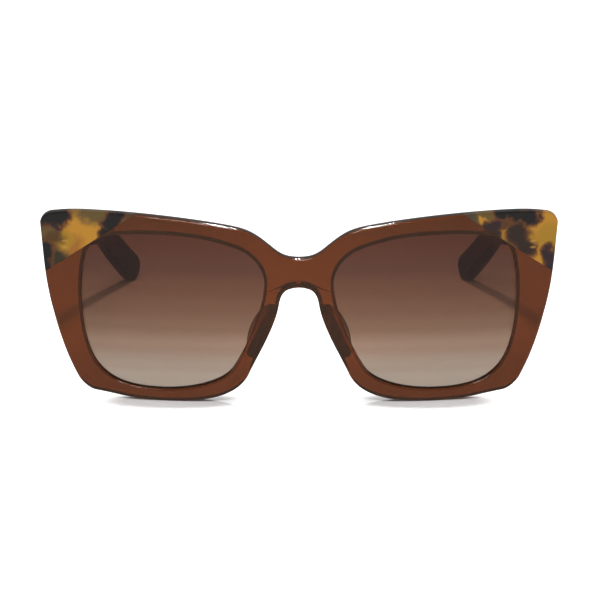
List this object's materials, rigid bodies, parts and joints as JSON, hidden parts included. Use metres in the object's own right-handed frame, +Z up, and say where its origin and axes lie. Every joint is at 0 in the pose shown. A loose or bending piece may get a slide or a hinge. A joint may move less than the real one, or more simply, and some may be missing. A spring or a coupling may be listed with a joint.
{
  "type": "cat eye sunglasses",
  "caption": "Cat eye sunglasses: brown acetate front with tortoise corner inlays, gradient lenses, nose pads and folding dark temples on barrel hinges.",
  "frame": {"origin": "on the table, under the middle of the open pair's bounding box", "axes": "+Z up, the front faces -Y, the open temples run to +Y, +X is the wearer's left"},
  "size_m": [0.1458, 0.1438, 0.0544],
  "materials": {
    "brown_acetate": "translucent brown cellulose acetate, tumbled to a high polish",
    "tortoise_acetate": "amber, olive and dark brown tortoise acetate, tumbled to a high polish",
    "gradient_lens": "polished plastic sun lens with a brown gradient tint",
    "pad_acetate": "translucent brown acetate, polished",
    "hinge_metal": "pale gold plated nickel silver, tumbled",
    "screw_metal": "turned stainless steel",
    "dark_acetate": "near black brown acetate, tumbled to a high polish",
    "core_metal": "drawn nickel silver wire"
  },
  "bodies": {
    "front": {"front": "brown_acetate", "corner_inlay_left": "tortoise_acetate", "corner_inlay_right": "tortoise_acetate", "lens_left": "gradient_lens", "lens_right": "gradient_lens", "nose_pad_left": "pad_acetate", "nose_pad_right": "pad_acetate", "front_hinge_left": "hinge_metal", "front_hinge_right": "hinge_metal", "hinge_screw_left": "screw_metal", "hinge_screw_right": "screw_metal"},
    "left_temple": {"temple_left": "dark_acetate", "temple_hinge_left": "hinge_metal", "temple_core_left": "core_metal"},
    "right_temple": {"temple_right": "dark_acetate", "temple_hinge_right": "hinge_metal", "temple_core_right": "core_metal"}
  },
  "joints": [
    {"name": "left_temple_fold", "type": "hinge", "parent": "front", "child": "left_temple", "pos_m": [0.0665, -0.05845, 0.0448], "axis": [0, 0, 1], "range_deg": [0, 85]},
    {"name": "right_temple_fold", "type": "hinge", "parent": "front", "child": "right_temple", "pos_m": [-0.0665, -0.05845, 0.0448], "axis": [0, 0, -1], "range_deg": [0, 78]}
  ]
}
